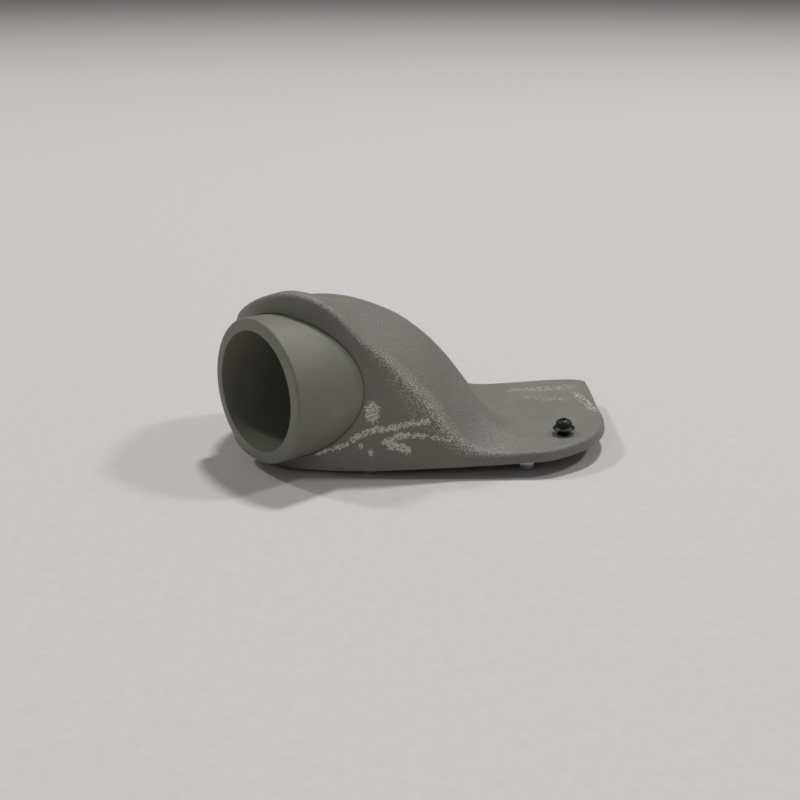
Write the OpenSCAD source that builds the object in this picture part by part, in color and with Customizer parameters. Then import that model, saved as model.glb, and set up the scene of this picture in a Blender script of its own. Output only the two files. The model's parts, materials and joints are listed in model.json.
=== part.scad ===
// Instrument pod: a moulded cowl that screws and clips to a dashboard and
// carries a cup for one round instrument, turned towards the driver.
// Every shape is drawn in the pod's own axes: x along the base from the foot
// of the cup's mouth, y to the back, z up from the underside. The whole pod
// then leans by rest_tilt, as it stands on a table, and is dropped so that the
// origin is the centre of the cup's mouth.

/* [Cowl] */
// Wall thickness of the cowl
wall = 2.4; // [2:0.1:3]
// Thickness of the flat plate at its edge
plate_h = 4.7; // [4.2:0.1:6]
// Inward lean of the cowl's walls, in mm for each mm of height
wall_lean = 0.125; // [0.1:0.005:0.15]
// Radius of the ridge where wall and crown meet
ridge_r = 3.4; // [2.6:0.2:4]
// Angle at which the pod stands on its clips, on a level table
rest_tilt = 2.86; // [2.5:0.02:3.2]

/* [Cup] */
// Diameter of the instrument that the cup takes
bore_d = 52.4; // [52:0.1:53]
// Outside diameter of the cup
cup_d = 63.2; // [62.6:0.2:64]
// Height of the mouth's centre over the underside
mouth_h = 36; // [35.5:0.5:37]
// Angle between the cup and the pod's long side
cup_turn = 40; // [38:1:42]
// Upward tilt of the cup's mouth
cup_tilt = 4.4; // [3.5:0.1:5]
// Distance from the mouth to the shoulder that stops on the felt ring
shoulder_at = 42; // [41:0.5:42.5]
// Gap between the cup and the cowl's opening
cup_gap = 0.3; // [0.25:0.05:0.5]

/* [Cup seat] */
// Running clearance of the cup's neck in the seat ring
neck_gap = 0.05; // [0.02:0.01:0.09]
// Thickness of the seat ring
seat_t = 3; // [2.6:0.2:3.4]
// Radius on which the seat ring's screws lie
seat_screw_r = 34.6; // [34.2:0.2:35]

/* [Mounting screw] */
// Outside diameter of the screw's thread
screw_d = 4.8; // [4:0.2:5]
// Length of the screw below its head
screw_len = 16; // [15.5:0.1:16]
// Diameter of the captive washer
washer_d = 9.8; // [9:0.2:11]
// Height at which the washer stands over the plate
screw_proud = 2.6; // [2:0.1:3]
// Diameter of the hole in the plate
screw_hole_d = 6; // [5.6:0.2:6.4]

/* [Trim clips] */
// Width of a spring clip
clip_w = 6; // [5:0.5:7]
// Thickness of the clips' spring steel
clip_t = 0.5; // [0.4:0.1:0.6]

/* [Hidden] */
$fn = 96;

grey = "#6f6e68";
black = "#1b1b1c";
zinc = "#b9bcbd";
steel = "#8d9093";
felt = "#2b2a29";

// The cowl's plan, once round from the left tip along the front: edge x, y and
// the height at which the wall turns into the crown.
edge = [
    [-18, 46, 57], [-15, 31, 64.5], [-5.5, 14.5, 72], [11, 1.6, 76.4], [29.5, -4.4, 71],
    [45, -6.7, 57], [58, -7.3, 44.8], [69, -7.3, 31], [77, -7.3, 20.2], [83.5, -7.2, 12],
    [91, -7, 7.2], [100, -6.7, 5.2], [112, -6, plate_h], [127, -3.8, plate_h],
    [144, 8.5, plate_h], [152.6, 27, plate_h], [152.6, 50, plate_h], [152.2, 74, plate_h],
    [150, 82, plate_h], [136, 84.3, plate_h], [119, 83.4, plate_h], [106, 82.8, plate_h],
    [96, 82.5, 5.5], [88, 82.5, 8], [80, 82.5, 12], [71, 82.5, 18], [61, 82.5, 25],
    [50, 82, 32], [37, 81.5, 39], [21, 79.5, 45], [3, 74, 49.5], [-12, 63, 53.5]];
// How steeply the crown leaves the ridge at each of those places: 0 is level.
rise = [1.4, 0.9, 0, 0, 0.8, 1.3, 1.5, 1.5, 1.5, 1.3, 0.7, 0.2, 0, 0, 0, 0, 0, 0, 0, 0, 0, 0,
        0, 0, 0.2, 0.6, 1, 1.3, 1.4, 1.4, 1.4, 1.4];
// The share of the way to the crest that stays level, where the plate lies behind the crown.
level = [0, 0, 0, 0, 0, 0, 0, 0, 0, 0, 0, 0, 0, 0, 0, 0, 0, 0, 0.1, 0.35, 0.5, 0.6,
         0.62, 0.56, 0.44, 0.3, 0.15, 0, 0, 0, 0, 0];
// The crest of the crown, from the left to the middle of the plate.
crest = [
    [16, 37.2, 64.5], [21, 35.5, 66.4], [26.5, 32, 67.8], [33, 27, 68.7], [41, 24, 67.9],
    [51, 24, 64.4], [62, 26, 58.6], [72.5, 27, 50], [80.5, 27, 41.2], [87, 25, 32.6],
    [92.5, 22, 25], [97.5, 19.5, 18], [102.5, 18, 11], [107, 18.5, 6.6],
    [112, 21.5, plate_h], [118, 25.5, plate_h], [125, 30, plate_h]];

columns = len(edge);
// Steps up the wall and over the ridge, then steps to each column and up the crown.
wall_n = 4;
ridge_n = 4;
outer_grid = [2, 8];
inner_grid = [1, 8];

// Places on the pod, in its own axes.
floor_drop = 37;
screw_at = [132.3, 13.5];
boss_r = 6.5;
rib_t = 1.6;
rib_across_at = [93.2, 122.6];
rib_along_at = 44;
tower_t = 2.2;
web_t = 1.8;
web_foot = 4.4;
pin_h = 2.4;
clips = [[47, -1.7, 12], [114.5, 1.8, 3.6], [20, 73, 12], [110, 73.5, 3.6]];

// Along the cup, from its mouth inwards.
bore_r = bore_d / 2;
cup_r = cup_d / 2;
neck_r = 29;
seat_at = shoulder_at + 2;
groove_at = seat_at + seat_t + 1.05;
groove_w = 1.1;
cup_len = groove_at + groove_w + 2.2;
lip_depth = 0.5;
seat_screws = [-75, 108, 62];
post_r = 3.6;
seat_screw_shank_r = 1.5;
seat_bite = 6;

// Up the mounting screw, from the pod's underside.
washer_z = plate_h + screw_proud;
washer_t = 1.2;
head_z = washer_z + washer_t + 0.05;
tip_z = head_z - screw_len;
head_r = 3.6;

// Smooth curve through a closed list of points, with a number of steps to each.
function smooth(a, b, c, d, t) =
    (2 * b + (c - a) * t + (2 * a - 5 * b + 4 * c - d) * t * t
     + (3 * b - a - 3 * c + d) * t * t * t) / 2;
function closed(row, i, steps) =
    let (k = floor(i / steps), m = len(row), t = (i % steps) / steps)
    smooth(row[(k + m - 1) % m], row[k % m], row[(k + 1) % m], row[(k + 2) % m], t);
// The crest is passed once on the way out and once on the way back.
crest_loop = [for (k = [0 : columns - 1]) crest[min(k, columns - k)]];

function flat(p) = [p[0], p[1]];
function unit(v) = v / norm(v);
function mix(a, b, t) = a + (b - a) * t;

// The plan edge moved in by a distance, along its own normal.
function inset(i, by, steps) =
    let (n = columns * steps, ahead = closed(edge, (i + 1) % n, steps),
         behind = closed(edge, (i + n - 1) % n, steps), along = unit(flat(ahead - behind)))
    flat(closed(edge, i, steps)) + by * [-along[1], along[0]];

// Height of the crown between the ridge and the crest, which it meets level.
function crown_z(z0, z1, k, s) =
    z0 + (z1 - z0) * (3 * s * s - 2 * s * s * s) + k * (z1 - z0) * (s - 2 * s * s + s * s * s);
function crown_point(ridge, top, k, flat_part, s) =
    let (p = mix(ridge, top, s), t = max(0, s - flat_part) / (1 - flat_part))
    [p[0], p[1], crown_z(ridge[2], top[2], k, t)];

// One line of points from the edge up the wall, over the ridge and along the crown.
function meridian(i, skin, foot, grid) =
    let (steps = grid[0], crown_n = grid[1],
         base = inset(i, skin, steps), place = closed(crest_loop, i, steps),
         top = [place[0], place[1], max(place[2], plate_h) - skin],
         ridge_z = max(closed(edge, i, steps)[2], plate_h) - skin,
         k = closed(rise, i, steps),
         flat_part = max(0, closed(level, i, steps)),
         inward = unit(flat(top) - base),
         ridge_xy = base + wall_lean * ridge_z * inward,
         ridge = [ridge_xy[0], ridge_xy[1], ridge_z],
         r = min(ridge_r, 0.45 * ridge_z),
         below = mix([base[0], base[1], 0], ridge, 1 - r / ridge_z),
         s0 = r / norm(flat(top) - ridge_xy),
         beyond = crown_point(ridge, top, k, flat_part, s0))
    concat(
        [[base[0], base[1], foot]],
        [for (j = [1 : wall_n - 1]) mix([base[0], base[1], 0], below, j / wall_n)],
        [for (j = [0 : ridge_n - 1]) mix(mix(below, ridge, j / ridge_n),
                                         mix(ridge, beyond, j / ridge_n), j / ridge_n)],
        [for (j = [0 : crown_n - 1])
            crown_point(ridge, top, k, flat_part, s0 + (1 - s0) * j / crown_n)],
        [top]);

// The solid under those lines: rings of points, closed along the crest and below.
module pod_solid(skin, foot, grid) {
    n = columns * grid[0];
    rings = wall_n + ridge_n + grid[1];
    lines = [for (i = [0 : n - 1]) meridian(i, skin, foot, grid)];
    points = concat([for (k = [0 : rings - 1]) for (i = [0 : n - 1]) lines[i][k]],
                    [for (i = [0 : n / 2]) lines[i][rings]]);
    function at(k, i) = let (j = i % n) k * n + (k < rings ? j : min(j, n - j));
    sides = [for (k = [0 : rings - 1]) for (i = [0 : n - 1])
        each [[at(k, i), at(k + 1, i + 1), at(k, i + 1)], [at(k, i), at(k + 1, i), at(k + 1, i + 1)]]];
    under = [for (i = [1 : n / 2 - 2])
        each [[i, i + 1, n - i], [i + 1, n - i - 1, n - i]]];
    ends = [[0, 1, n - 1], [n / 2 - 1, n / 2, n / 2 + 1]];
    polyhedron(points, concat(sides, under, ends));
}

// From the pod's own axes to the way it stands.
module placed() {
    rotate([0, -rest_tilt, 0]) translate([0, 0, -mouth_h]) children();
}

// Along the cup: z runs inwards from the centre of its mouth, and -x is up.
module at_cup() {
    translate([0, 0, mouth_h]) rotate([0, 90 + cup_tilt, cup_turn]) children();
}
module along_cup() {
    placed() at_cup() children();
}

// The table's height under a place on the pod, in the pod's own axes.
function table_z(x) = mouth_h - (floor_drop + x * sin(rest_tilt)) / cos(rest_tilt);

// A flat ring of a given size, standing on the cup's axis.
module ring(inner_r, outer_r, from, to) {
    translate([0, 0, from]) difference() {
        cylinder(r = outer_r, h = to - from);
        translate([0, 0, -1]) cylinder(r = inner_r, h = to - from + 2);
    }
}

module at_seat_screw(k) {
    rotate([0, 0, seat_screws[k]]) translate([seat_screw_r, 0, 0]) children();
}

module stiffening_ribs() {
    for (x = rib_across_at) translate([x, -20, -1]) cube([rib_t, 120, 80]);
    translate([rib_across_at[0], rib_along_at, -1]) cube([60, rib_t, 80]);
}

// The post that a seat screw goes into, and the hole in its end.
module seat_post(k) {
    at_cup() at_seat_screw(k) cylinder(r = post_r, h = seat_at);
}
module seat_pilot(k) {
    at_cup() at_seat_screw(k) translate([0, 0, seat_at - seat_bite])
        cylinder(r = seat_screw_shank_r, h = 2 * seat_bite);
}

module clip_tower(k) {
    foot = table_z(clips[k][0]) + pin_h;
    width = clip_w - 1.2;
    translate([clips[k][0] - width / 2, clips[k][1] - tower_t / 2, foot])
        cube([width, tower_t, clips[k][2] - foot]);
}

// A web that ties the taller towers to the wall beside them.
module tower_web(k, reach) {
    translate([clips[k][0] - web_t / 2, min(clips[k][1], clips[k][1] + reach), web_foot])
        cube([web_t, abs(reach), clips[k][2] - web_foot]);
}

// The hollow under the cowl, less what is moulded inside it.
module hollow() {
    difference() {
        pod_solid(wall, -1, inner_grid);
        stiffening_ribs();
        translate([screw_at[0], screw_at[1], -2]) cylinder(r = boss_r, h = 10);
        for (k = [0 : 2]) seat_post(k);
    }
}

module cowl() {
    color(grey) placed() {
        difference() {
            pod_solid(0, 0, outer_grid);
            hollow();
            at_cup() translate([0, 0, -20]) cylinder(r = cup_r + cup_gap, h = seat_at + 20.5);
            for (k = [0 : 2]) seat_pilot(k);
            translate([screw_at[0], screw_at[1], -5]) cylinder(d = screw_hole_d, h = 20);
        }
        for (k = [0 : 3]) clip_tower(k);
        tower_web(0, -3);
        tower_web(2, 4.4);
    }
}

module cup() {
    round_r = 1.2;
    color(grey) along_cup() rotate_extrude() polygon(concat(
        [[bore_r, 0]],
        [for (a = [90 : -15 : 0]) [cup_r - round_r + round_r * cos(a), lip_depth + round_r * (1 - sin(a))]],
        [[cup_r, shoulder_at], [neck_r, shoulder_at], [neck_r, groove_at], [neck_r - 1.1, groove_at],
         [neck_r - 1.1, groove_at + groove_w], [neck_r, groove_at + groove_w],
         [neck_r, cup_len - 0.5], [neck_r - 0.5, cup_len], [bore_r, cup_len]]));
}

module seat_ring() {
    lug_r = 4;
    web_w = 6.4;
    hole_r = 1.8;
    color(black) along_cup() translate([0, 0, seat_at]) difference() {
        union() {
            cylinder(r = neck_r + 2.4, h = seat_t);
            for (k = [0 : 2]) {
                at_seat_screw(k) cylinder(r = lug_r, h = seat_t);
                rotate([0, 0, seat_screws[k]]) translate([neck_r + 1, -web_w / 2, 0])
                    cube([seat_screw_r - neck_r - 1, web_w, seat_t]);
            }
        }
        translate([0, 0, -1]) cylinder(r = neck_r + neck_gap, h = seat_t + 2);
        for (k = [0 : 2]) at_seat_screw(k) translate([0, 0, -1]) cylinder(r = hole_r, h = seat_t + 2);
    }
}

module felt_ring() {
    color(felt) along_cup() ring(neck_r + 0.4, neck_r + 2.4, shoulder_at + 0.4, seat_at);
}

module wave_washer() {
    color(steel) along_cup() ring(neck_r + 0.3, neck_r + 2, groove_at - 0.7, groove_at);
}

module snap_ring() {
    color(steel) along_cup() rotate([0, 0, 15]) rotate_extrude(angle = 330)
        translate([neck_r - 1.05, groove_at]) square([2.9, groove_w]);
}

module seat_screw(k) {
    color(zinc) along_cup() at_seat_screw(k) {
        translate([0, 0, seat_at - seat_bite]) cylinder(r = seat_screw_shank_r, h = seat_bite + seat_t);
        translate([0, 0, seat_at + seat_t]) rotate_extrude()
            polygon([[0, 0], [2.9, 0], [2.9, 0.9], [2.4, 1.7], [1.5, 2.1], [0, 2.2]]);
    }
}

module on_plate() {
    placed() translate([screw_at[0], screw_at[1], 0]) children();
}

module mounting_screw() {
    r = screw_d / 2;
    color(black) on_plate() rotate_extrude() polygon(concat(
        [[0, tip_z], [r - 0.35, tip_z + 3.2], [r, tip_z + 4], [r, head_z], [head_r, head_z]],
        [for (a = [0 : 15 : 75]) [head_r * cos(a), head_z + 0.7 + 2.5 * sin(a)]],
        [[0, head_z + 3.2]]));
}

module screw_washer() {
    hole_r = screw_d / 2 + 0.15;
    color(black) on_plate() rotate_extrude() polygon([
        [hole_r, washer_z + 0.35], [washer_d / 2 - 0.7, washer_z], [washer_d / 2, washer_z],
        [washer_d / 2, washer_z + 0.4], [head_r + 0.1, washer_z + washer_t], [hole_r, washer_z + washer_t]]);
}

// A sheet-steel nut under the plate, with a lug folded down on each side.
module screw_retainer() {
    color(steel) on_plate() difference() {
        union() {
            translate([-6, -4.5, -0.8]) cube([12, 9, 0.8]);
            for (side = [-1, 1]) translate([side * 5.6 - 0.4, -3, -2.6]) cube([0.8, 6, 2]);
        }
        translate([0, 0, -5]) cylinder(r = screw_d / 2 + 0.1, h = 10);
    }
}

// A folded spring clip over its tower: two leaves with a rounded end and a barb.
module spring_clip(k) {
    half = tower_t / 2 + clip_t;
    foot = table_z(clips[k][0]) + 0.7;
    color(zinc) placed() translate([clips[k][0], clips[k][1], foot]) difference() {
        union() {
            intersection() {
                translate([0, half, clip_w / 2]) rotate([90, 0, 0]) cylinder(d = clip_w, h = 2 * half);
                translate([-clip_w / 2, -half, 0]) cube([clip_w, 2 * half, clip_w / 2]);
            }
            translate([-clip_w / 2, -half, clip_w / 2]) cube([clip_w, 2 * half, 2.2]);
        }
        translate([-clip_w, -tower_t / 2, pin_h - 0.7]) cube([2 * clip_w, tower_t, 10]);
        translate([0, 0, -1]) cylinder(r = 1.25, h = 3);
    }
}

// The nylon pin pressed into the end of a tower through its clip.
module clip_pin(k) {
    foot = table_z(clips[k][0]);
    color(black) placed() translate([clips[k][0], clips[k][1], foot]) rotate_extrude()
        polygon([[0, 0], [0.8, 0], [1.25, 0.5], [1.25, pin_h], [0, pin_h]]);
}

cowl();
cup();
seat_ring();
felt_ring();
wave_washer();
snap_ring();
seat_screw(0);  // seat_screw_front
seat_screw(1);  // seat_screw_upper
seat_screw(2);  // seat_screw_lower
mounting_screw();
screw_washer();
screw_retainer();
spring_clip(0);  // clip_front_left
spring_clip(1);  // clip_front_right
spring_clip(2);  // clip_back_left
spring_clip(3);  // clip_back_right
clip_pin(0);  // clip_pin_front_left
clip_pin(1);  // clip_pin_front_right
clip_pin(2);  // clip_pin_back_left
clip_pin(3);  // clip_pin_back_right
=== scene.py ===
import json
from math import cos, pi, radians, sin

import bmesh
import bpy
from mathutils import Matrix, Vector
from mathutils.kdtree import KDTree


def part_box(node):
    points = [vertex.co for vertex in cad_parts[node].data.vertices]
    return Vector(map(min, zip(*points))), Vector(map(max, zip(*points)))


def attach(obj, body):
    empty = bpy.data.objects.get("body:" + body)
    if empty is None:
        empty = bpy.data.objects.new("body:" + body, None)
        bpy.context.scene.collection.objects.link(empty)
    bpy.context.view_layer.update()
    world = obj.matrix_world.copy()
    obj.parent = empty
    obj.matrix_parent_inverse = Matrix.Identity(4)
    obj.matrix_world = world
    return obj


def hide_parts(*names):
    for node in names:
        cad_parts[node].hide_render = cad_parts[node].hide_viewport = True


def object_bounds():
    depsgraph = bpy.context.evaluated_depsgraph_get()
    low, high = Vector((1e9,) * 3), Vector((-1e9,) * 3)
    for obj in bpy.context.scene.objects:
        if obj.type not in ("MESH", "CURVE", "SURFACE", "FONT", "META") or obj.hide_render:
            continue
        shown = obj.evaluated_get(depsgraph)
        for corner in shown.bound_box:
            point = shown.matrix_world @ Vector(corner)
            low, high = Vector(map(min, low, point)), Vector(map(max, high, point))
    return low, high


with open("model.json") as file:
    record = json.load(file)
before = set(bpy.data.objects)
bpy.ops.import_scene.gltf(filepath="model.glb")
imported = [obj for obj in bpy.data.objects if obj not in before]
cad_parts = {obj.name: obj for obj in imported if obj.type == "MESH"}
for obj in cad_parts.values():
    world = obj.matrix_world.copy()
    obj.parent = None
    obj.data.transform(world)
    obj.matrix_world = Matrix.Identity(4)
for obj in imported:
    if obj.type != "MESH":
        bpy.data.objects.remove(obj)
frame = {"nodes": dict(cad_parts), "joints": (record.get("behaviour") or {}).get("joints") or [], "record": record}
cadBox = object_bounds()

# Shapes are worked out in mm and stored in metres.
toMetres = Matrix.Scale(0.001, 4)
joints = {joint["name"]: joint for joint in frame["joints"]}
mounts = {mount["name"]: mount for mount in frame["record"]["mounts"]}


def put(tree, kind, inputs=None, **settings):
    made = tree.nodes.new(kind)
    for key, value in settings.items():
        setattr(made, key, value)
    for key, value in (inputs or {}).items():
        if isinstance(value, bpy.types.NodeSocket):
            tree.links.new(value, made.inputs[key])
        else:
            made.inputs[key].default_value = value
    return made


def maths(tree, kind, operation, first, second=0.0, **settings):
    return put(tree, kind, {0: first, 1: second}, operation=operation, **settings).outputs[0]


def calc(tree, operation, first, second=0.0, clamp=False):
    return maths(tree, "ShaderNodeMath", operation, first, second, use_clamp=clamp)


def vector(tree, operation, first, second=(0, 0, 0)):
    return maths(tree, "ShaderNodeVectorMath", operation, first, second)


def scaled(tree, first, factor):
    node = put(tree, "ShaderNodeVectorMath", {0: first, "Scale": factor}, operation="SCALE")
    return node.outputs["Vector"]


def ramp(tree, value, low, high, start=0.0, end=1.0):
    sockets = {"Value": value, "From Min": low, "From Max": high, "To Min": start, "To Max": end}
    return put(tree, "ShaderNodeMapRange", sockets, interpolation_type="SMOOTHSTEP").outputs[0]


def tint(tree, factor, first, second, mode="MIX"):
    node = put(tree, "ShaderNodeMix", {0: factor, 6: first, 7: second}, data_type="RGBA",
               blend_type=mode)
    return node.outputs[2]


def colour(text):
    parts = [int(text[k:k + 2], 16) / 255 for k in (0, 2, 4)]
    return [p / 12.92 if p <= 0.04045 else ((p + 0.055) / 1.055) ** 2.4 for p in parts] + [1.0]


def noise(tree, place, scale, detail=2.0, roughness=0.5):
    sockets = {"Vector": place, "Scale": scale, "Detail": detail, "Roughness": roughness}
    return put(tree, "ShaderNodeTexNoise", sockets).outputs["Fac"]


def startMaterial(name):
    material = bpy.data.materials.new(name)
    material.use_nodes = True
    tree = material.node_tree
    tree.nodes.clear()
    shader = put(tree, "ShaderNodeBsdfPrincipled")
    end = put(tree, "ShaderNodeOutputMaterial")
    tree.links.new(shader.outputs[0], end.inputs["Surface"])
    place = put(tree, "ShaderNodeTexCoord").outputs["Object"]
    return material, tree, shader, place


def wire(tree, shader, **sockets):
    for key, value in sockets.items():
        name = {"baseColour": "Base Color", "roughness": "Roughness", "normal": "Normal"}[key]
        tree.links.new(value, shader.inputs[name])


grain = {
    "pebble": 1050.0,  # cells in a metre
    "pebbleBump": 0.00010,
    "fineBump": 0.00003,
    "wander": 0.0006,
}

# Where the paint has gone: start, end and half width in mm, in the row's axes, and how much.
scuffs = [
    ((49.6, -3.6, -6.4), (49.8, -3.8, -9.0), 4.8, 0.95),
    ((41, -4.4, -20.2), (49.5, -4.7, -15.5), 1.8, 1.0),
    ((49.5, -4.7, -15.5), (59.3, -4.9, -14), 2.4, 1.0),
    ((59.3, -4.9, -14), (74, -4.4, -11.4), 1.7, 0.95),
    ((55, -5.7, -21), (61.4, -5.4, -17.5), 2.2, 1.0),
    ((61.4, -5.4, -17.5), (72, -5.5, -17.9), 1.5, 1.0),
    ((72, -5.5, -17.9), (83, -5.6, -19.8), 1.2, 0.9),
    ((57.5, -5.9, -22), (64.5, -6.3, -24), 3.0, 0.95),
    ((44.4, -5.1, -22.7), (45.4, -5.2, -23.2), 1.5, 1.0),
    ((48.6, -5.8, -25.1), (49.6, -5.9, -26), 1.4, 1.0),
    ((25.3, -2, -27.3), (31.5, -3.4, -25.3), 1.5, 1.0),
    ((31.5, -3.4, -25.3), (39, -4.4, -22.6), 1.6, 0.95),
    ((116, 70, -24.6), (144, 71, -24.3), 4.5, 0.42),
    ((122, 60, -24.6), (140, 54, -24.3), 4.5, 0.34),
    ((146, 62, -24.1), (151, 40, -23.9), 3.6, 0.48),
]



def scuffGroup():
    tree = bpy.data.node_groups.new("scuffStroke", "ShaderNodeTree")
    for name in ("Place", "From", "To"):
        tree.interface.new_socket(name, in_out="INPUT", socket_type="NodeSocketVector")
    tree.interface.new_socket("Width", in_out="INPUT", socket_type="NodeSocketFloat")
    tree.interface.new_socket("Mask", in_out="OUTPUT", socket_type="NodeSocketFloat")
    given = put(tree, "NodeGroupInput").outputs
    along = vector(tree, "SUBTRACT", given["To"], given["From"])
    reach = vector(tree, "SUBTRACT", given["Place"], given["From"])

    def dot(first, second):
        node = put(tree, "ShaderNodeVectorMath", {0: first, 1: second}, operation="DOT_PRODUCT")
        return node.outputs["Value"]

    part = calc(tree, "DIVIDE", dot(reach, along), dot(along, along), clamp=True)
    off = vector(tree, "SUBTRACT", reach, scaled(tree, along, part))
    gap = put(tree, "ShaderNodeVectorMath", {0: off}, operation="LENGTH").outputs["Value"]
    ratio = calc(tree, "DIVIDE", gap, given["Width"])
    end = put(tree, "NodeGroupOutput")
    tree.links.new(ramp(tree, ratio, 0.3, 1.15, 1.0, 0.0), end.inputs["Mask"])
    return tree


def pebbles(tree, place, scale):
    # Leather-like cells: the place wanders a little, so no cell is a neat polygon.
    drift = put(tree, "ShaderNodeTexNoise", {"Vector": place, "Scale": scale * 0.8, "Detail": 1.0})
    centred = vector(tree, "SUBTRACT", drift.outputs["Color"], (0.5, 0.5, 0.5))
    moved = vector(tree, "ADD", place, scaled(tree, centred, grain["wander"]))
    cells = put(tree, "ShaderNodeTexVoronoi", {"Vector": moved, "Scale": scale},
                feature="DISTANCE_TO_EDGE")
    return ramp(tree, cells.outputs["Distance"], 0.0, 0.32)


def bumped(tree, shader, layers):
    normal = None
    for height, distance in layers:
        sockets = {"Height": height, "Distance": distance, "Strength": 1.0}
        if normal:
            sockets["Normal"] = normal
        normal = put(tree, "ShaderNodeBump", sockets).outputs["Normal"]
    wire(tree, shader, normal=normal)


def cowlPlastic():
    material, tree, shader, place = startMaterial("cowlPlastic")
    cells = pebbles(tree, place, grain["pebble"])
    fine = noise(tree, place, 5200.0, 2.0)
    broad = noise(tree, place, 26.0, 3.0)
    blotch = noise(tree, place, 95.0, 3.0)
    base = tint(tree, ramp(tree, broad, 0.35, 0.68), colour("827f79"), colour("88867e"))
    base = tint(tree, ramp(tree, blotch, 0.52, 0.75, 0.0, 0.35), base, colour("8f8d7d"))
    base = tint(tree, ramp(tree, cells, 0.0, 0.6, 0.22, 0.0), base, colour("4c4b46"))

    # The ridge has been rubbed and carries a painted highlight: the tops of its grain there are pale, partly from
    # real wear and partly as a painted highlight along the ridge.
    wearAndHighlight = put(tree, "ShaderNodeAttribute", attribute_name="ridgeWear").outputs["Fac"]
    speck = noise(tree, place, 1500.0, 2.0, 0.7)
    tops = calc(tree, "MULTIPLY", ramp(tree, cells, 0.1, 0.5), ramp(tree, speck, 0.46, 0.53))
    rubAndHighlight = calc(tree, "MULTIPLY", wearAndHighlight, tops, clamp=True)
    base = tint(tree, calc(tree, "MULTIPLY", rubAndHighlight, 0.95), base, colour("d3d0c5"))

    # Scuffs: each stroke is a capsule with a ragged edge, broken up by the grain.
    group = scuffGroup()
    ragged = put(tree, "ShaderNodeTexNoise", {"Vector": place, "Scale": 420.0, "Detail": 5.0,
                                              "Roughness": 0.7})
    centred = vector(tree, "SUBTRACT", ragged.outputs["Color"], (0.5, 0.5, 0.5))
    strayed = vector(tree, "ADD", place, scaled(tree, centred, 0.0055))
    total = None
    for start, end, width, strength in scuffs:
        stroke = put(tree, "ShaderNodeGroup", node_tree=group)
        tree.links.new(strayed, stroke.inputs["Place"])
        stroke.inputs["From"].default_value = toMetres @ Vector(start)
        stroke.inputs["To"].default_value = toMetres @ Vector(end)
        stroke.inputs["Width"].default_value = width * 0.001
        mask = calc(tree, "MULTIPLY", stroke.outputs["Mask"], strength)
        total = calc(tree, "MAXIMUM", total, mask) if total else mask
    flecks = noise(tree, place, 950.0, 5.0, 0.75)
    lift = calc(tree, "ADD", flecks, calc(tree, "MULTIPLY", total, 0.27))
    broken = calc(tree, "MULTIPLY", ramp(tree, lift, 0.66, 0.69), ramp(tree, cells, 0.0, 0.25))
    # Only the faces that look up or to the front are scuffed, and never the inside.
    normal = put(tree, "ShaderNodeTexCoord").outputs["Normal"]
    outward = put(tree, "ShaderNodeVectorMath", {0: normal, 1: (0.0, -0.7, 0.7)},
                  operation="DOT_PRODUCT").outputs["Value"]
    broken = calc(tree, "MULTIPLY", broken, ramp(tree, outward, 0.0, 0.15))
    bare = calc(tree, "MULTIPLY", ramp(tree, total, 0.0, 0.2), broken, clamp=True)
    base = tint(tree, calc(tree, "MULTIPLY", bare, 0.95), base, colour("ece8da"))

    dull = calc(tree, "ADD", ramp(tree, blotch, 0.3, 0.7, 0.40, 0.50),
                calc(tree, "MULTIPLY", bare, 0.2))
    wire(tree, shader, baseColour=base, roughness=dull)
    bumped(tree, shader, [(cells, grain["pebbleBump"]), (fine, grain["fineBump"])])
    shader.inputs["Specular IOR Level"].default_value = 0.42
    return material


def cupPlastic():
    material, tree, shader, place = startMaterial("cupPlastic")
    cells = pebbles(tree, place, grain["pebble"] * 1.7)
    broad = noise(tree, place, 34.0, 3.0)
    cloud = noise(tree, place, 120.0, 4.0, 0.6)
    base = tint(tree, ramp(tree, broad, 0.35, 0.7), colour("75746c"), colour("7f7f73"))
    base = tint(tree, ramp(tree, cloud, 0.55, 0.8, 0.0, 0.4), base, colour("8f907d"))
    stretched = put(tree, "ShaderNodeMapping", {"Vector": place, "Scale": (1.0, 1.0, 6.0),
                                                "Rotation": (0.3, 0.5, 0.2)}).outputs[0]
    scratch = ramp(tree, noise(tree, stretched, 420.0, 5.0, 0.75), 0.68, 0.76, 0.0, 0.3)
    base = tint(tree, scratch, base, colour("a5a493"))
    wire(tree, shader, baseColour=base, roughness=ramp(tree, cloud, 0.3, 0.7, 0.40, 0.52))
    fine = noise(tree, place, 5200.0, 2.0)
    bumped(tree, shader, [(cells, grain["pebbleBump"] * 0.35), (fine, grain["fineBump"])])
    shader.inputs["Specular IOR Level"].default_value = 0.45
    return material


def plainFinish(name, dark, light, rough, metallic=0.0, bump=0.00002, scale=900.0):
    # A base colour that drifts between two tones, with fine wear in roughness and bump.
    material, tree, shader, place = startMaterial(name)
    cloud = noise(tree, place, scale * 0.3, 4.0, 0.6)
    fine = noise(tree, place, scale * 4, 3.0)
    base = tint(tree, ramp(tree, cloud, 0.35, 0.7), colour(dark), colour(light))
    wire(tree, shader, baseColour=base,
         roughness=ramp(tree, cloud, 0.3, 0.75, rough - 0.07, rough + 0.1))
    bumped(tree, shader, [(fine, bump)])
    shader.inputs["Metallic"].default_value = metallic
    return material


finishes = {
    "cowl": cowlPlastic(),
    "cup": cupPlastic(),
    "nylon": plainFinish("blackNylon", "171717", "222221", 0.5),
    "seat": plainFinish("seatPlastic", "1c1c1b", "2a2a28", 0.55, bump=0.00004),
    "felt": plainFinish("pressedFelt", "242322", "3a3836", 0.95, bump=0.00015, scale=1800.0),
    "spring": plainFinish("springSteel", "8a8d90", "a5a7a8", 0.34, 1.0),
    "zinc": plainFinish("zincPlate", "a9adb0", "c9cccc", 0.3, 1.0),
    "black": plainFinish("blackPhosphate", "101011", "232324", 0.42, 0.35, bump=0.00003),
}
print("finishes made")


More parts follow.
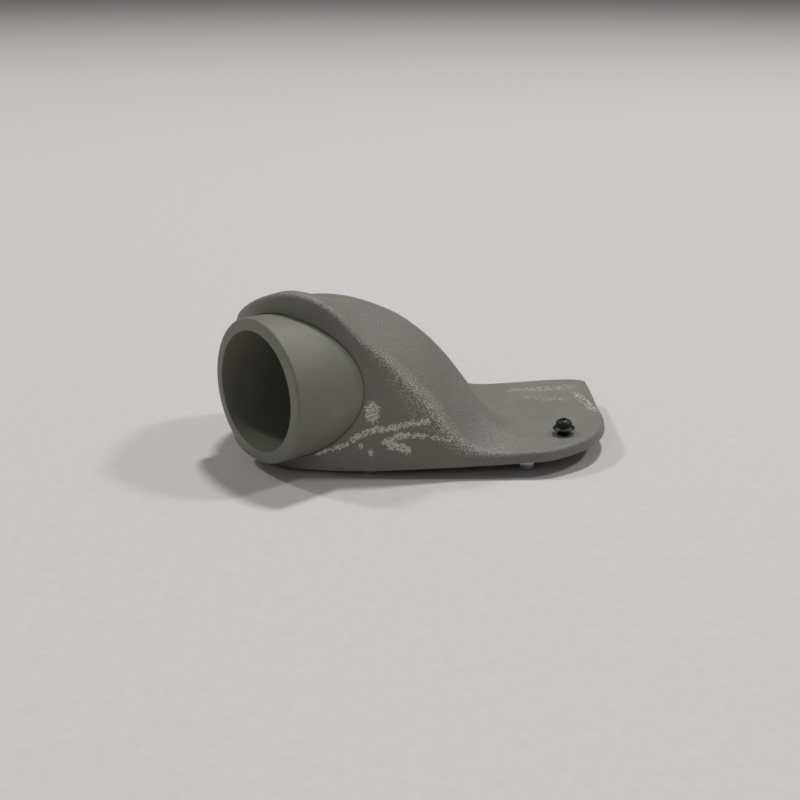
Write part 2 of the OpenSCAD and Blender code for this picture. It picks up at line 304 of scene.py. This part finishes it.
def newObject(name, mesh):
    made = bpy.data.objects.new(name, mesh)
    bpy.context.scene.collection.objects.link(made)
    return made


def meshFrom(name, shape):
    mesh = bpy.data.meshes.new(name)
    shape.to_mesh(mesh)
    shape.free()
    return mesh


def smoothShaded(mesh, angle=32.0):
    mesh.polygons.foreach_set("use_smooth", [True] * len(mesh.polygons))
    mesh.set_sharp_from_angle(angle=radians(angle))


def settled(source, name):
    # The evaluated object as a plain mesh, with the modifiers gone.
    graph = bpy.context.evaluated_depsgraph_get()
    mesh = bpy.data.meshes.new_from_object(source.evaluated_get(graph))
    mesh.name = name
    bpy.data.objects.remove(source)
    return newObject(name, mesh)


def finished(piece, finish, slotName, body, *nodes):
    piece.data.materials.clear()
    piece.data.materials.append(finishes[finish])
    smoothShaded(piece.data)
    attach(piece, body)
    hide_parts(*nodes)
    return piece


def tidied(shape, fill=False):
    bmesh.ops.remove_doubles(shape, verts=shape.verts, dist=1e-6)
    if fill:
        bmesh.ops.holes_fill(shape, edges=shape.edges, sides=0)
    bmesh.ops.recalc_face_normals(shape, faces=shape.faces)


def boxShape(low, high):
    shape = bmesh.new()
    bmesh.ops.create_cube(shape, size=1.0)
    middle = (Vector(low) + Vector(high)) / 2
    size = Vector(high) - Vector(low)
    for corner in shape.verts:
        corner.co = Vector([middle[k] + corner.co[k] * size[k] for k in range(3)])
    return shape


def rodShape(radius, low, high, sides=128):
    shape = bmesh.new()
    bmesh.ops.create_cone(shape, cap_ends=True, segments=sides, radius1=radius, radius2=radius,
                          depth=high - low, matrix=Matrix.Translation((0, 0, (low + high) / 2)))
    return shape


def combine(target, tools):
    # tools: a list of (operation, shape), applied in order.
    cutters = []
    for operation, shape in tools:
        cutter = newObject("cutter", meshFrom("cutter", shape))
        cutters.append(cutter)
        cut = target.modifiers.new("cut", "BOOLEAN")
        cut.operation = operation
        cut.solver = "MANIFOLD"
        cut.object = cutter
    done = settled(target, target.name)
    for cutter in cutters:
        bpy.data.objects.remove(cutter)
    return done


cowl = {
    "wall": 2.4,
    "plateHeight": 4.7,
    "lean": 0.125,  # inward lean of the walls, in mm for each mm of height
    "ridgeRadius": 3.4,
    "tilt": 2.86,  # the angle at which the pod stands, in degrees
    "mouthHeight": 36.0,
    "openingRadius": 31.9,
    "screwHole": 3.0,
    "bossRadius": 6.5,
    "screwAt": (132.3, 13.5),
    "ribThickness": 1.6,
    "ribsAcross": (93.2, 122.6),
    "ribAlong": 44.0,
    "postRadius": 3.6,
    "pilotRadius": 1.5,
    "pilotDepth": 6.0,
    "seatAt": 44.0,
    "tower": (4.8, 2.2),  # width and thickness of the towers that hold the clips
    "towerTops": (12, 3.6, 12, 3.6),
    "pinReach": 1.2,  # from the middle of a clip's pin to the foot of its tower
    "web": 1.8,
    "webFoot": 4.4,
    "frontWeb": -3,  # how far a web reaches to the wall beside it
    "backWeb": 4.4,
    "outerGrid": (8, 16, 8, 36),  # steps to a column, up the wall, over the ridge, up the crown
    "innerGrid": (3, 6, 4, 16),
}

# Once round the plan from the left tip along the front: x, y and the ridge's height.
edge = [Vector(p) for p in [
    (-18, 46, 57), (-15, 31, 64.5), (-5.5, 14.5, 72), (11, 1.6, 76.4), (29.5, -4.4, 71),
    (45, -6.7, 57), (58, -7.3, 44.8), (69, -7.3, 31), (77, -7.3, 20.2), (83.5, -7.2, 12),
    (91, -7, 7.2), (100, -6.7, 5.2), (112, -6, 4.7), (127, -3.8, 4.7), (144, 8.5, 4.7),
    (152.6, 27, 4.7), (152.6, 50, 4.7), (152.2, 74, 4.7), (150, 82, 4.7), (136, 84.3, 4.7),
    (119, 83.4, 4.7), (106, 82.8, 4.7), (96, 82.5, 5.5), (88, 82.5, 8), (80, 82.5, 12),
    (71, 82.5, 18), (61, 82.5, 25), (50, 82, 32), (37, 81.5, 39), (21, 79.5, 45), (3, 74, 49.5),
    (-12, 63, 53.5)]]
# How steeply the crown leaves the ridge at each of those places.
rise = [1.4, 0.9, 0, 0, 0.8, 1.3, 1.5, 1.5, 1.5, 1.3, 0.7, 0.2] + [0] * 12
rise += [0.2, 0.6, 1, 1.3] + [1.4] * 4
# The share of the way to the crest that stays level, where the plate lies behind the crown.
level = [0] * 18 + [0.1, 0.35, 0.5, 0.6, 0.62, 0.56, 0.44, 0.3, 0.15] + [0] * 5
# The crest of the crown, from the left to the middle of the plate.
crest = [Vector(p) for p in [
    (16, 37.2, 64.5), (21, 35.5, 66.4), (26.5, 32, 67.8), (33, 27, 68.7), (41, 24, 67.9),
    (51, 24, 64.4), (62, 26, 58.6), (72.5, 27, 50), (80.5, 27, 41.2), (87, 25, 32.6),
    (92.5, 22, 25), (97.5, 19.5, 18), (102.5, 18, 11), (107, 18.5, 6.6),
    (112, 21.5, 4.7), (118, 25.5, 4.7), (125, 30, 4.7)]]
crestLoop = [crest[min(k, len(edge) - k)] for k in range(len(edge))]

podMatrix = (Matrix.Rotation(radians(-cowl["tilt"]), 4, "Y")
             @ Matrix.Translation((0, 0, -cowl["mouthHeight"])))
cupAxis = Vector(joints["cup_turn"]["axis"])  # from the mouth inwards
cupMatrix = cupAxis.to_track_quat("Z", "Y").to_matrix().to_4x4()
cupInPod = podMatrix.inverted() @ cupMatrix
plateMatrix = podMatrix @ Matrix.Translation((*cowl["screwAt"], 0))


def smoothRow(row, i, steps):
    k, t = divmod(i, steps)
    t /= steps
    a, b, c, d = (row[(k + j) % len(row)] for j in (-1, 0, 1, 2))
    return (2 * b + (c - a) * t + (2 * a - 5 * b + 4 * c - d) * t * t
            + (3 * b - a - 3 * c + d) * t ** 3) / 2


def inset(i, by, steps):
    count = len(edge) * steps
    along = smoothRow(edge, (i + 1) % count, steps) - smoothRow(edge, (i - 1) % count, steps)
    along = along.to_2d().normalized()
    return smoothRow(edge, i, steps).to_2d() + by * Vector((-along.y, along.x))


def crownPoint(ridge, top, k, flatPart, s):
    place = ridge.lerp(top, s)
    drop = top.z - ridge.z
    t = max(0, s - flatPart) / (1 - flatPart)
    place.z = ridge.z + drop * (3 * t * t - 2 * t ** 3) + k * drop * (t - 2 * t * t + t ** 3)
    return place


def ridgeAt(i, skin, steps):
    base = inset(i, skin, steps)
    place = smoothRow(crestLoop, i, steps)
    plate = cowl["plateHeight"]
    top = Vector((place.x, place.y, max(place.z, plate) - skin))
    height = max(smoothRow(edge, i, steps).z, plate) - skin
    inward = (top.to_2d() - base).normalized()
    across = base + cowl["lean"] * height * inward
    return base.to_3d(), Vector((across.x, across.y, height)), top


def meridian(i, skin, foot, grid):
    steps, wallSteps, ridgeSteps, crownSteps = grid
    base, ridge, top = ridgeAt(i, skin, steps)
    k = smoothRow(rise, i, steps)
    flatPart = max(0, smoothRow(level, i, steps))
    r = min(cowl["ridgeRadius"], 0.45 * ridge.z)
    below = base.lerp(ridge, 1 - r / ridge.z)
    first = r / (top - ridge).to_2d().length
    beyond = crownPoint(ridge, top, k, flatPart, first)
    line = [Vector((base.x, base.y, foot))]
    line += [base.lerp(below, j / wallSteps) for j in range(1, wallSteps)]
    for j in range(ridgeSteps):
        t = j / ridgeSteps
        line.append(below.lerp(ridge, t).lerp(ridge.lerp(beyond, t), t))
    for j in range(crownSteps):
        s = first + (1 - first) * j / crownSteps
        line.append(crownPoint(ridge, top, k, flatPart, s))
    return line + [top]


def podShape(skin, foot, grid):
    count = len(edge) * grid[0]
    rings = sum(grid[1:])
    lines = [meridian(i, skin, foot, grid) for i in range(count)]
    shape = bmesh.new()
    rows = [[shape.verts.new(line[k]) for line in lines] for k in range(rings)]
    rows.append([shape.verts.new(lines[i][rings]) for i in range(count // 2 + 1)])

    def at(k, i):
        i %= count
        return rows[k][i] if k < rings else rows[k][min(i, count - i)]

    for k in range(rings):
        for i in range(count):
            shape.faces.new([at(k, i), at(k, i + 1), at(k + 1, i + 1), at(k + 1, i)])
    for i in range(1, count // 2 - 1):
        shape.faces.new([at(0, i), at(0, count - i), at(0, count - i - 1), at(0, i + 1)])
    half = count // 2
    shape.faces.new([at(0, 0), at(0, count - 1), at(0, 1)])
    shape.faces.new([at(0, half - 1), at(0, half + 1), at(0, half)])
    bmesh.ops.recalc_face_normals(shape, faces=shape.faces)
    return shape


def moved(shape, matrix):
    bmesh.ops.transform(shape, matrix=matrix, verts=shape.verts)
    return shape


def nodeInPod(name):
    # The middle of a CAD node, in the pod's own axes and in mm.
    low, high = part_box(name)
    middle = (low + high) / 2
    return podMatrix.inverted() @ (middle * 1000)


def cowlPiece():
    thick = cowl["ribThickness"]
    postRadius, pilotRadius, bite = cowl["postRadius"], cowl["pilotRadius"], cowl["pilotDepth"]
    seatAt = cowl["seatAt"]
    hollow = newObject("hollow", meshFrom("hollow", podShape(cowl["wall"], -1, cowl["innerGrid"])))
    kept = [("DIFFERENCE", boxShape((x, -20, -2), (x + thick, 100, 79)))
            for x in cowl["ribsAcross"]]
    first = cowl["ribsAcross"][0]
    kept.append(("DIFFERENCE", boxShape((first + 0.1, cowl["ribAlong"], -2),
                                        (first + 60, cowl["ribAlong"] + thick, 79))))
    boss = moved(rodShape(cowl["bossRadius"], -2, 8), Matrix.Translation((*cowl["screwAt"], 0)))
    kept.append(("DIFFERENCE", boss))
    pilots = []
    for name in seatScrewNodes:
        at = cupInPod.inverted() @ nodeInPod(name)
        place = cupInPod @ Matrix.Translation((at.x, at.y, 0))
        kept.append(("DIFFERENCE", moved(rodShape(postRadius, 0, seatAt, 48), place)))
        pilots.append(("DIFFERENCE",
                       moved(rodShape(pilotRadius, seatAt - bite, seatAt + 6, 32), place)))
    hollow = combine(hollow, kept)
    inside = bmesh.new()
    inside.from_mesh(hollow.data)
    bpy.data.objects.remove(hollow)

    shell = newObject("cowlShell", meshFrom("cowlShell", podShape(0, 0, cowl["outerGrid"])))
    tools = [("DIFFERENCE", inside)]
    opening = moved(rodShape(cowl["openingRadius"], -20, seatAt + 0.5, 256), cupInPod)
    tools.append(("DIFFERENCE", opening))
    tools += pilots
    hole = moved(rodShape(cowl["screwHole"], -5, 15, 64),
                 Matrix.Translation((*cowl["screwAt"], 0)))
    tools.append(("DIFFERENCE", hole))
    width, deep = cowl["tower"]
    half = cowl["web"] / 2
    for name, top in zip(clipNodes, cowl["towerTops"]):
        middle = nodeInPod(name)
        foot = nodeInPod(name.replace("clip_", "clip_pin_")).z + cowl["pinReach"]
        tools.append(("UNION", boxShape((middle.x - width / 2, middle.y - deep / 2, foot),
                                        (middle.x + width / 2, middle.y + deep / 2, top))))
        if top > 10:  # only the tall towers have a web
            reach = cowl["frontWeb"] if middle.y < 0 else cowl["backWeb"]
            low, high = sorted((middle.y, middle.y + reach))
            tools.append(("UNION", boxShape((middle.x - half, low, cowl["webFoot"]),
                                            (middle.x + half, high, top))))
    shell = combine(shell, tools)
    markRidgeRubAndHighlight(shell.data)
    shell.data.transform(toMetres @ podMatrix)
    return finished(shell, "cowl", "cowl_plastic", "pod", "cowl")


# The rub along the front ridge, which is also a painted highlight along the ridge.
ridgeRubAndHighlight = {
    "starts": (12, 55),  # where along x it starts, and over how far it comes in
    "ends": (112, 18),
    "widest": (72, 24),  # where it is widest, and how far off it is narrow again
    "breadth": (2.4, 6.5),  # its half width everywhere, and what is added at its widest
    "backLimit": 12,
}


def markRidgeRubAndHighlight(mesh):
    # How much each point near the front ridge is rubbed and lit by the painted highlight along the ridge, from 0
    # to 1.
    steps = 16
    count = len(edge) * steps
    tree = KDTree(count)
    for i in range(count):
        tree.insert(ridgeAt(i, 0, steps)[1], i)
    tree.balance()
    wearAndHighlight = mesh.attributes.new("ridgeWear", "FLOAT", "POINT")
    start, comeIn = ridgeRubAndHighlight["starts"]
    end, goOut = ridgeRubAndHighlight["ends"]
    middle, reach = ridgeRubAndHighlight["widest"]
    narrow, added = ridgeRubAndHighlight["breadth"]
    values = []
    for point in mesh.vertices:
        near, _, gap = tree.find(point.co)
        low = min(max((near.x - start) / comeIn, 0), 1)
        high = min(max((end - near.x) / goOut, 0), 1)
        broad = narrow + added * max(0, 1 - abs(near.x - middle) / reach)
        front = 1 if near.y < ridgeRubAndHighlight["backLimit"] else 0
        values.append(front * (0.5 + 0.5 * low) * high * max(0, 1 - gap / broad) ** 0.7)
    wearAndHighlight.data.foreach_set("value", values)


seatScrewNodes = ["seat_screw_front", "seat_screw_upper", "seat_screw_lower"]
clipNodes = ["clip_front_left", "clip_front_right", "clip_back_left", "clip_back_right"]
pinNodes = [name.replace("clip_", "clip_pin_") for name in clipNodes]
cowlPiece()
print("cowl made")


def startTree(name, sockets):
    tree = bpy.data.node_groups.new(name, "GeometryNodeTree")
    tree.interface.new_socket("Geometry", in_out="INPUT", socket_type="NodeSocketGeometry")
    for label, kind, value in sockets:
        made = tree.interface.new_socket(label, in_out="INPUT", socket_type="NodeSocket" + kind)
        if value is not None:
            made.default_value = value
    tree.interface.new_socket("Geometry", in_out="OUTPUT", socket_type="NodeSocketGeometry")
    return tree, put(tree, "NodeGroupInput").outputs


def endTree(tree, geometry, material):
    real = put(tree, "GeometryNodeRealizeInstances", {"Geometry": geometry}).outputs[0]
    painted = put(tree, "GeometryNodeSetMaterial", {"Geometry": real, "Material": material})
    end = put(tree, "NodeGroupOutput")
    tree.links.new(painted.outputs[0], end.inputs["Geometry"])
    return tree


def runTree(name, tree, base, values, fill=False):
    source = newObject(name, base)
    modifier = source.modifiers.new(tree.name, "NODES")
    modifier.node_group = tree
    for item in tree.interface.items_tree:
        if item.in_out == "INPUT" and item.name in values:
            modifier[item.identifier] = values[item.name]
    piece = settled(source, name)
    shape = bmesh.new()
    shape.from_mesh(piece.data)
    tidied(shape, fill)
    shape.to_mesh(piece.data)
    shape.free()
    return piece


def turnedTree():
    # Turns an outline, given as a closed loop in x and z, about the z axis.
    tree, given = startTree("turnedPart", [
        ("Steps", "Int", 96), ("Start", "Float", 0.0), ("Sweep", "Float", 2 * pi),
        ("Waves", "Float", 0.0), ("Wave Height", "Float", 0.0), ("Material", "Material", None)])
    count = put(tree, "GeometryNodeAttributeDomainSize", {"Geometry": given["Geometry"]})
    count = count.outputs["Point Count"]
    grid = put(tree, "GeometryNodeMeshGrid", {
        "Size X": given["Steps"], "Size Y": count,
        "Vertices X": calc(tree, "ADD", given["Steps"], 1.0),
        "Vertices Y": calc(tree, "ADD", count, 1.0)}).outputs["Mesh"]
    place = put(tree, "ShaderNodeSeparateXYZ",
                {0: put(tree, "GeometryNodeInputPosition").outputs[0]}).outputs
    turn = calc(tree, "ROUND", calc(tree, "ADD", place[0], calc(tree, "DIVIDE", given["Steps"], 2.0)))
    index = calc(tree, "ROUND", calc(tree, "ADD", place[1], calc(tree, "DIVIDE", count, 2.0)))
    index = calc(tree, "FLOORED_MODULO", index, count)
    angle = calc(tree, "MULTIPLY", calc(tree, "DIVIDE", turn, given["Steps"]), given["Sweep"])
    angle = calc(tree, "ADD", angle, given["Start"])
    sample = tree.nodes.new("GeometryNodeSampleIndex")
    sample.data_type = "FLOAT_VECTOR"
    tree.links.new(given["Geometry"], sample.inputs["Geometry"])
    tree.links.new(put(tree, "GeometryNodeInputPosition").outputs[0], sample.inputs["Value"])
    tree.links.new(index, sample.inputs["Index"])
    point = put(tree, "ShaderNodeSeparateXYZ", {0: sample.outputs[0]}).outputs
    wave = calc(tree, "MULTIPLY", calc(tree, "SINE", calc(tree, "MULTIPLY", angle, given["Waves"])),
                given["Wave Height"])
    turned = put(tree, "ShaderNodeCombineXYZ", {
        0: calc(tree, "MULTIPLY", point[0], calc(tree, "COSINE", angle)),
        1: calc(tree, "MULTIPLY", point[0], calc(tree, "SINE", angle)),
        2: calc(tree, "ADD", point[2], wave)}).outputs[0]
    made = put(tree, "GeometryNodeSetPosition", {"Geometry": grid, "Position": turned}).outputs[0]
    return endTree(tree, made, given["Material"])


def threadTree():
    # A ridge wound round the z axis, which fades out at both ends.
    tree, given = startTree("screwThread", [
        ("Root", "Float", 2.0), ("Depth", "Float", 0.4), ("Pitch", "Float", 1.8),
        ("Turns", "Float", 5.0), ("Steps", "Int", 200), ("Material", "Material", None)])
    grid = put(tree, "GeometryNodeMeshGrid", {
        "Size X": 1.0, "Size Y": 3.0, "Vertices X": given["Steps"], "Vertices Y": 4}).outputs["Mesh"]
    place = put(tree, "ShaderNodeSeparateXYZ",
                {0: put(tree, "GeometryNodeInputPosition").outputs[0]}).outputs
    part = calc(tree, "ADD", place[0], 0.5)
    corner = calc(tree, "FLOORED_MODULO",
                  calc(tree, "ROUND", calc(tree, "ADD", place[1], 1.5)), 3.0)
    side = calc(tree, "SUBTRACT", corner, 1.0)
    middle = calc(tree, "SUBTRACT", 1.0, calc(tree, "ABSOLUTE", side))
    fade = calc(tree, "MULTIPLY", ramp(tree, part, 0.0, 0.08), ramp(tree, part, 0.92, 1.0, 1.0, 0.0))
    proud = calc(tree, "MULTIPLY", calc(tree, "MULTIPLY", middle, fade), given["Depth"])
    radius = calc(tree, "ADD", calc(tree, "SUBTRACT", given["Root"], 0.15),
                  calc(tree, "ADD", proud, calc(tree, "MULTIPLY", middle, 0.15)))
    angle = calc(tree, "MULTIPLY", calc(tree, "MULTIPLY", part, given["Turns"]), 2 * pi)
    climb = calc(tree, "MULTIPLY", calc(tree, "MULTIPLY", part, given["Turns"]), given["Pitch"])
    spread = calc(tree, "MULTIPLY", calc(tree, "MULTIPLY", side, given["Pitch"]), 0.34)
    wound = put(tree, "ShaderNodeCombineXYZ", {
        0: calc(tree, "MULTIPLY", radius, calc(tree, "COSINE", angle)),
        1: calc(tree, "MULTIPLY", radius, calc(tree, "SINE", angle)),
        2: calc(tree, "ADD", climb, spread)}).outputs[0]
    made = put(tree, "GeometryNodeSetPosition", {"Geometry": grid, "Position": wound}).outputs[0]
    return endTree(tree, made, given["Material"])


def repeatTree():
    # Sets one piece down at every point.
    tree, given = startTree("repeatedPiece", [
        ("Piece", "Object", None), ("Material", "Material", None)])
    info = put(tree, "GeometryNodeObjectInfo", {"Object": given["Piece"]}).outputs["Geometry"]
    made = put(tree, "GeometryNodeInstanceOnPoints",
               {"Points": given["Geometry"], "Instance": info}).outputs[0]
    return endTree(tree, made, given["Material"])


turnedPart = turnedTree()
screwThread = threadTree()
repeatedPiece = repeatTree()


def outlineMesh(points):
    mesh = bpy.data.meshes.new("outline")
    count = len(points)
    mesh.from_pydata([(x, 0, z) for x, z in points], [(k, (k + 1) % count) for k in range(count)], [])
    return mesh


def turned(name, points, finish, steps=128, fill=False, **values):
    given = {"Steps": steps, "Material": finishes[finish], **values}
    return runTree(name, turnedPart, outlineMesh(points), given, fill)


def arc(x, z, radius, start, end, count=6):
    # Points on a rounded corner, with the angles in degrees.
    angles = [radians(start + (end - start) * k / count) for k in range(count + 1)]
    return [(x + radius * cos(a), z + radius * sin(a)) for a in angles]


def repeated(name, piece, nodes, finish, slotName, body):
    # piece stands for the first node; the others are set down where their boxes are.
    middles = [sum(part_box(node), Vector()) / 2 for node in nodes]
    points = bpy.data.meshes.new("points")
    points.from_pydata([middle - middles[0] for middle in middles], [], [])
    made = runTree(name, repeatedPiece, points, {"Piece": piece, "Material": finishes[finish]})
    bpy.data.objects.remove(piece)
    return finished(made, finish, slotName, body, *nodes)


cup = {
    "bore": mounts["instrument_bore"]["dims"]["r_mm"],
    "length": mounts["instrument_bore"]["dims"]["length_mm"],
    "radius": 31.6,
    "neck": 29.0,
    "shoulder": 42.0,
    "seat": 44.0,
    "groove": 48.05,
    "grooveWidth": 1.1,
    "lipRound": 1.2,
    "lipDepth": 0.5,
}


def inCup(piece):
    piece.data.transform(toMetres @ cupMatrix)
    return piece


def cupPiece():
    bore, radius, neck = cup["bore"], cup["radius"], cup["neck"]
    groove, width, length = cup["groove"], cup["grooveWidth"], cup["length"]
    lip, depth = cup["lipRound"], cup["lipDepth"]
    points = arc(bore + 0.35, 0.35, 0.35, 180, 270, 4)
    points += arc(radius - lip, depth + lip, lip, -90, 0, 10)
    points += [(radius, 8), (radius, 20), (radius, 32)]
    points += arc(radius - 0.3, cup["shoulder"] - 0.3, 0.3, 0, 90, 3)
    points += [(neck, cup["shoulder"]), (neck, groove), (neck - 1.1, groove),
               (neck - 1.1, groove + width), (neck, groove + width)]
    points += [(neck, length - 0.5), (neck - 0.5, length), (bore + 0.3, length), (bore, length - 0.3)]
    points += [(bore, 38), (bore, 24), (bore, 10)]
    piece = inCup(turned("cupSleeve", points, "cup", 224))
    return finished(piece, "cup", "cup_plastic", "cup", "cup")


def ringOutline(inner, outer, low, high, soft):
    points = arc(inner + soft, low + soft, soft, 180, 270, 3)
    points += arc(outer - soft, low + soft, soft, 270, 360, 3)
    points += arc(outer - soft, high - soft, soft, 0, 90, 3)
    points += arc(inner + soft, high - soft, soft, 90, 180, 3)
    return points


# The rings round the cup's neck: inner and outer radius, both past the neck's, then the
# two ends along the cup, then how much the edges are rounded.
neckRings = {
    "felt": (0.4, 2.4, 42.4, cup["seat"], 0.25),
    "washer": (0.3, 2.0, cup["groove"] - 0.5, cup["groove"] - 0.2, 0.08),
    "clasp": (-1.05, 1.85, cup["groove"] + 0.02, cup["groove"] + cup["grooveWidth"] - 0.02, 0.15),
}


def neckRing(name):
    inner, outer, low, high, soft = neckRings[name]
    return ringOutline(cup["neck"] + inner, cup["neck"] + outer, low, high, soft)


def seatParts():
    felt = turned("feltRing", neckRing("felt"), "felt", 128)
    finished(inCup(felt), "felt", "felt", "pod", "felt_ring")
    washer = turned("waveWasher", neckRing("washer"), "spring", 192,
                    **{"Waves": 6.0, "Wave Height": 0.18})
    finished(inCup(washer), "spring", "spring_steel", "cup", "wave_washer")
    clasp = turned("snapRing", neckRing("clasp"), "spring", 176, fill=True,
                   Start=radians(15), Sweep=radians(330))
    finished(inCup(clasp), "spring", "spring_steel", "cup", "snap_ring")


def refined(node, name, soft):
    # A copy of a CAD node with its sharp edges broken.
    shape = bmesh.new()
    shape.from_mesh(frame["nodes"][node].data)
    bmesh.ops.remove_doubles(shape, verts=shape.verts, dist=2e-6)
    bmesh.ops.dissolve_limit(shape, angle_limit=radians(1.5), verts=shape.verts, edges=shape.edges)
    sharp = [e for e in shape.edges if e.is_manifold and e.calc_face_angle() > radians(35)]
    bmesh.ops.bevel(shape, geom=sharp, offset=soft * 0.001, segments=2, profile=0.5,
                    affect="EDGES", clamp_overlap=True)
    bmesh.ops.recalc_face_normals(shape, faces=shape.faces)
    return newObject(name, meshFrom(name, shape))


def fasteners():
    finished(refined("seat_ring", "seatRing", 0.25), "seat", "black_plastic", "pod", "seat_ring")
    screw = refined(seatScrewNodes[0], "seatScrew", 0.12)
    repeated("seatScrews", screw, seatScrewNodes, "zinc", "zinc", "pod")
    clip = refined(clipNodes[0], "trimClip", 0.12)
    repeated("trimClips", clip, clipNodes, "zinc", "clip_steel", "pod")
    pin = refined(pinNodes[0], "clipPin", 0.15)
    repeated("clipPins", pin, pinNodes, "nylon", "black_plastic", "pod")
    finished(refined("screw_retainer", "screwRetainer", 0.12), "spring", "spring_steel", "pod",
             "screw_retainer")


cupPiece()
seatParts()
fasteners()
print("cup, seat and fasteners made")


# Heights are up the screw's own axis, from the pod's underside.
screw = {
    "tip": -7.45,
    "head": 8.55,
    "radius": 2.4,
    "root": 1.95,
    "pitch": 1.8,  # the same as the screw's joints are coupled by
    "headRadius": 3.6,
    "headSide": 0.7,
    "headCrown": 2.5,
    "washerLow": 7.3,
    "washerRadius": 4.9,
    "recess": (3.3, 0.85, 1.5),  # length, width and depth of the cross in the head
}


def screwPieces():
    tip, head, root = screw["tip"], screw["head"], screw["root"]
    points = [(0, tip), (root - 0.35, tip + 3.3), (root, tip + 4.4), (root, head - 1.2),
              (screw["radius"], head - 0.7), (screw["radius"], head)]
    points += arc(screw["headRadius"] - 0.2, head + 0.2, 0.2, -90, 0, 3)
    side, crown = screw["headSide"], screw["headCrown"]
    points += [(screw["headRadius"] * cos(radians(a)), head + side + crown * sin(radians(a)))
               for a in range(0, 90, 8)]
    points += [(0, head + side + crown)]
    body = turned("mountingScrew", points, "black", 64)
    turns = (head - tip - 4.2) / screw["pitch"]
    thread = runTree("thread", screwThread, outlineMesh([(0, 0), (1, 0)]), {
        "Root": root, "Depth": screw["radius"] - root, "Pitch": screw["pitch"], "Turns": turns,
        "Steps": 240, "Material": finishes["black"]}, True)
    wound = bmesh.new()
    wound.from_mesh(thread.data)
    moved(wound, Matrix.Translation((0, 0, tip + 3.2)))
    bpy.data.objects.remove(thread)
    length, width, depth = screw["recess"]
    top = head + side + crown
    low, high = top - depth, top + 1
    body = combine(body, [
        ("UNION", wound),
        ("DIFFERENCE", boxShape((-length / 2, -width / 2, low), (length / 2, width / 2, high))),
        ("DIFFERENCE", boxShape((-width / 2, -length / 2, low), (width / 2, length / 2, high)))])
    body.data.transform(toMetres @ plateMatrix)
    finished(body, "black", "black_steel", "screw", "mounting_screw")

    low, outer, hole = screw["washerLow"], screw["washerRadius"], screw["radius"] + 0.15
    points = [(hole, low + 0.35), (outer - 0.7, low)] + arc(outer - 0.2, low + 0.2, 0.2, -90, 60, 6)
    points += [(screw["headRadius"] + 0.1, low + 1.2), (hole, low + 1.2)]
    washer = turned("screwWasher", points, "black", 96)
    washer.data.transform(toMetres @ plateMatrix)
    finished(washer, "black", "black_steel", "washer", "screw_washer")


screwPieces()
print("mounting screw made")


studio = {
    "floorColour": "d2cecd",
    "floorReach": 9.0,
    "worldLight": 0.135,
    "lamps": [  # place, size across and power in watts
        ((0.80, 1.35, 4.30), 0.50, 100.0),
        ((2.70, 0.35, 2.90), 0.45, 35.0),
        ((-2.60, 1.00, 3.40), 0.50, 42.0),
        ((-1.40, -2.80, 2.00), 1.20, 7.0),
    ],
    "cameraPlace": (0.0614, -0.455, 0.171),
    "cameraDrop": 21.0,  # degrees below level
    "lens": 51.75,
    "sensor": 36.0,
}


def floorAndLight():
    material, tree, shader, place = startMaterial("paleFloor")
    mottle = noise(tree, place, 240.0, 4.0, 0.6)
    pale = colour(studio["floorColour"])
    wire(tree, shader, baseColour=tint(tree, ramp(tree, mottle, 0.3, 0.7), pale, colour("cecac9")))
    shader.inputs["Roughness"].default_value = 0.75
    shader.inputs["Specular IOR Level"].default_value = 0.2
    shape = bmesh.new()
    bmesh.ops.create_circle(shape, cap_ends=True, segments=96, radius=studio["floorReach"],
                            matrix=Matrix.Translation((0, 0, cadBox[0][2])))
    floor = newObject("floor", meshFrom("floor", shape))
    floor.data.materials.append(material)

    world = bpy.data.worlds.new("studio")
    bpy.context.scene.world = world
    world.use_nodes = True
    tree = world.node_tree
    tree.nodes.clear()
    ray = put(tree, "ShaderNodeLightPath").outputs
    lit = put(tree, "ShaderNodeBackground",
              {"Color": (1.0, 0.985, 0.97, 1.0), "Strength": studio["worldLight"]}).outputs[0]
    shown = put(tree, "ShaderNodeBackground", {"Color": pale, "Strength": 1.0}).outputs[0]
    mixed = put(tree, "ShaderNodeMixShader", {0: ray["Is Camera Ray"], 1: lit, 2: shown})
    put(tree, "ShaderNodeOutputWorld", {"Surface": mixed.outputs[0]})

    target = Vector((0.06, 0.03, 0.0))
    for k, (spot, size, power) in enumerate(studio["lamps"]):
        lamp = bpy.data.lights.new(f"lamp{k}", "AREA")
        lamp.shape = "DISK"
        lamp.size = size
        lamp.energy = power
        holder = bpy.data.objects.new(f"lamp{k}", lamp)
        holder.location = spot
        holder.rotation_euler = (target - Vector(spot)).to_track_quat("-Z", "Y").to_euler()
        bpy.context.scene.collection.objects.link(holder)


def camera():
    lens = bpy.data.cameras.new("camera")
    lens.lens = studio["lens"]
    lens.sensor_width = studio["sensor"]
    lens.clip_start = 0.01
    holder = bpy.data.objects.new("camera", lens)
    holder.location = studio["cameraPlace"]
    holder.rotation_euler = (radians(90 - studio["cameraDrop"]), 0, 0)
    bpy.context.scene.collection.objects.link(holder)
    bpy.context.scene.camera = holder


floorAndLight()
camera()
bpy.context.scene.view_settings.view_transform = "Standard"
print("floor, light and camera made")
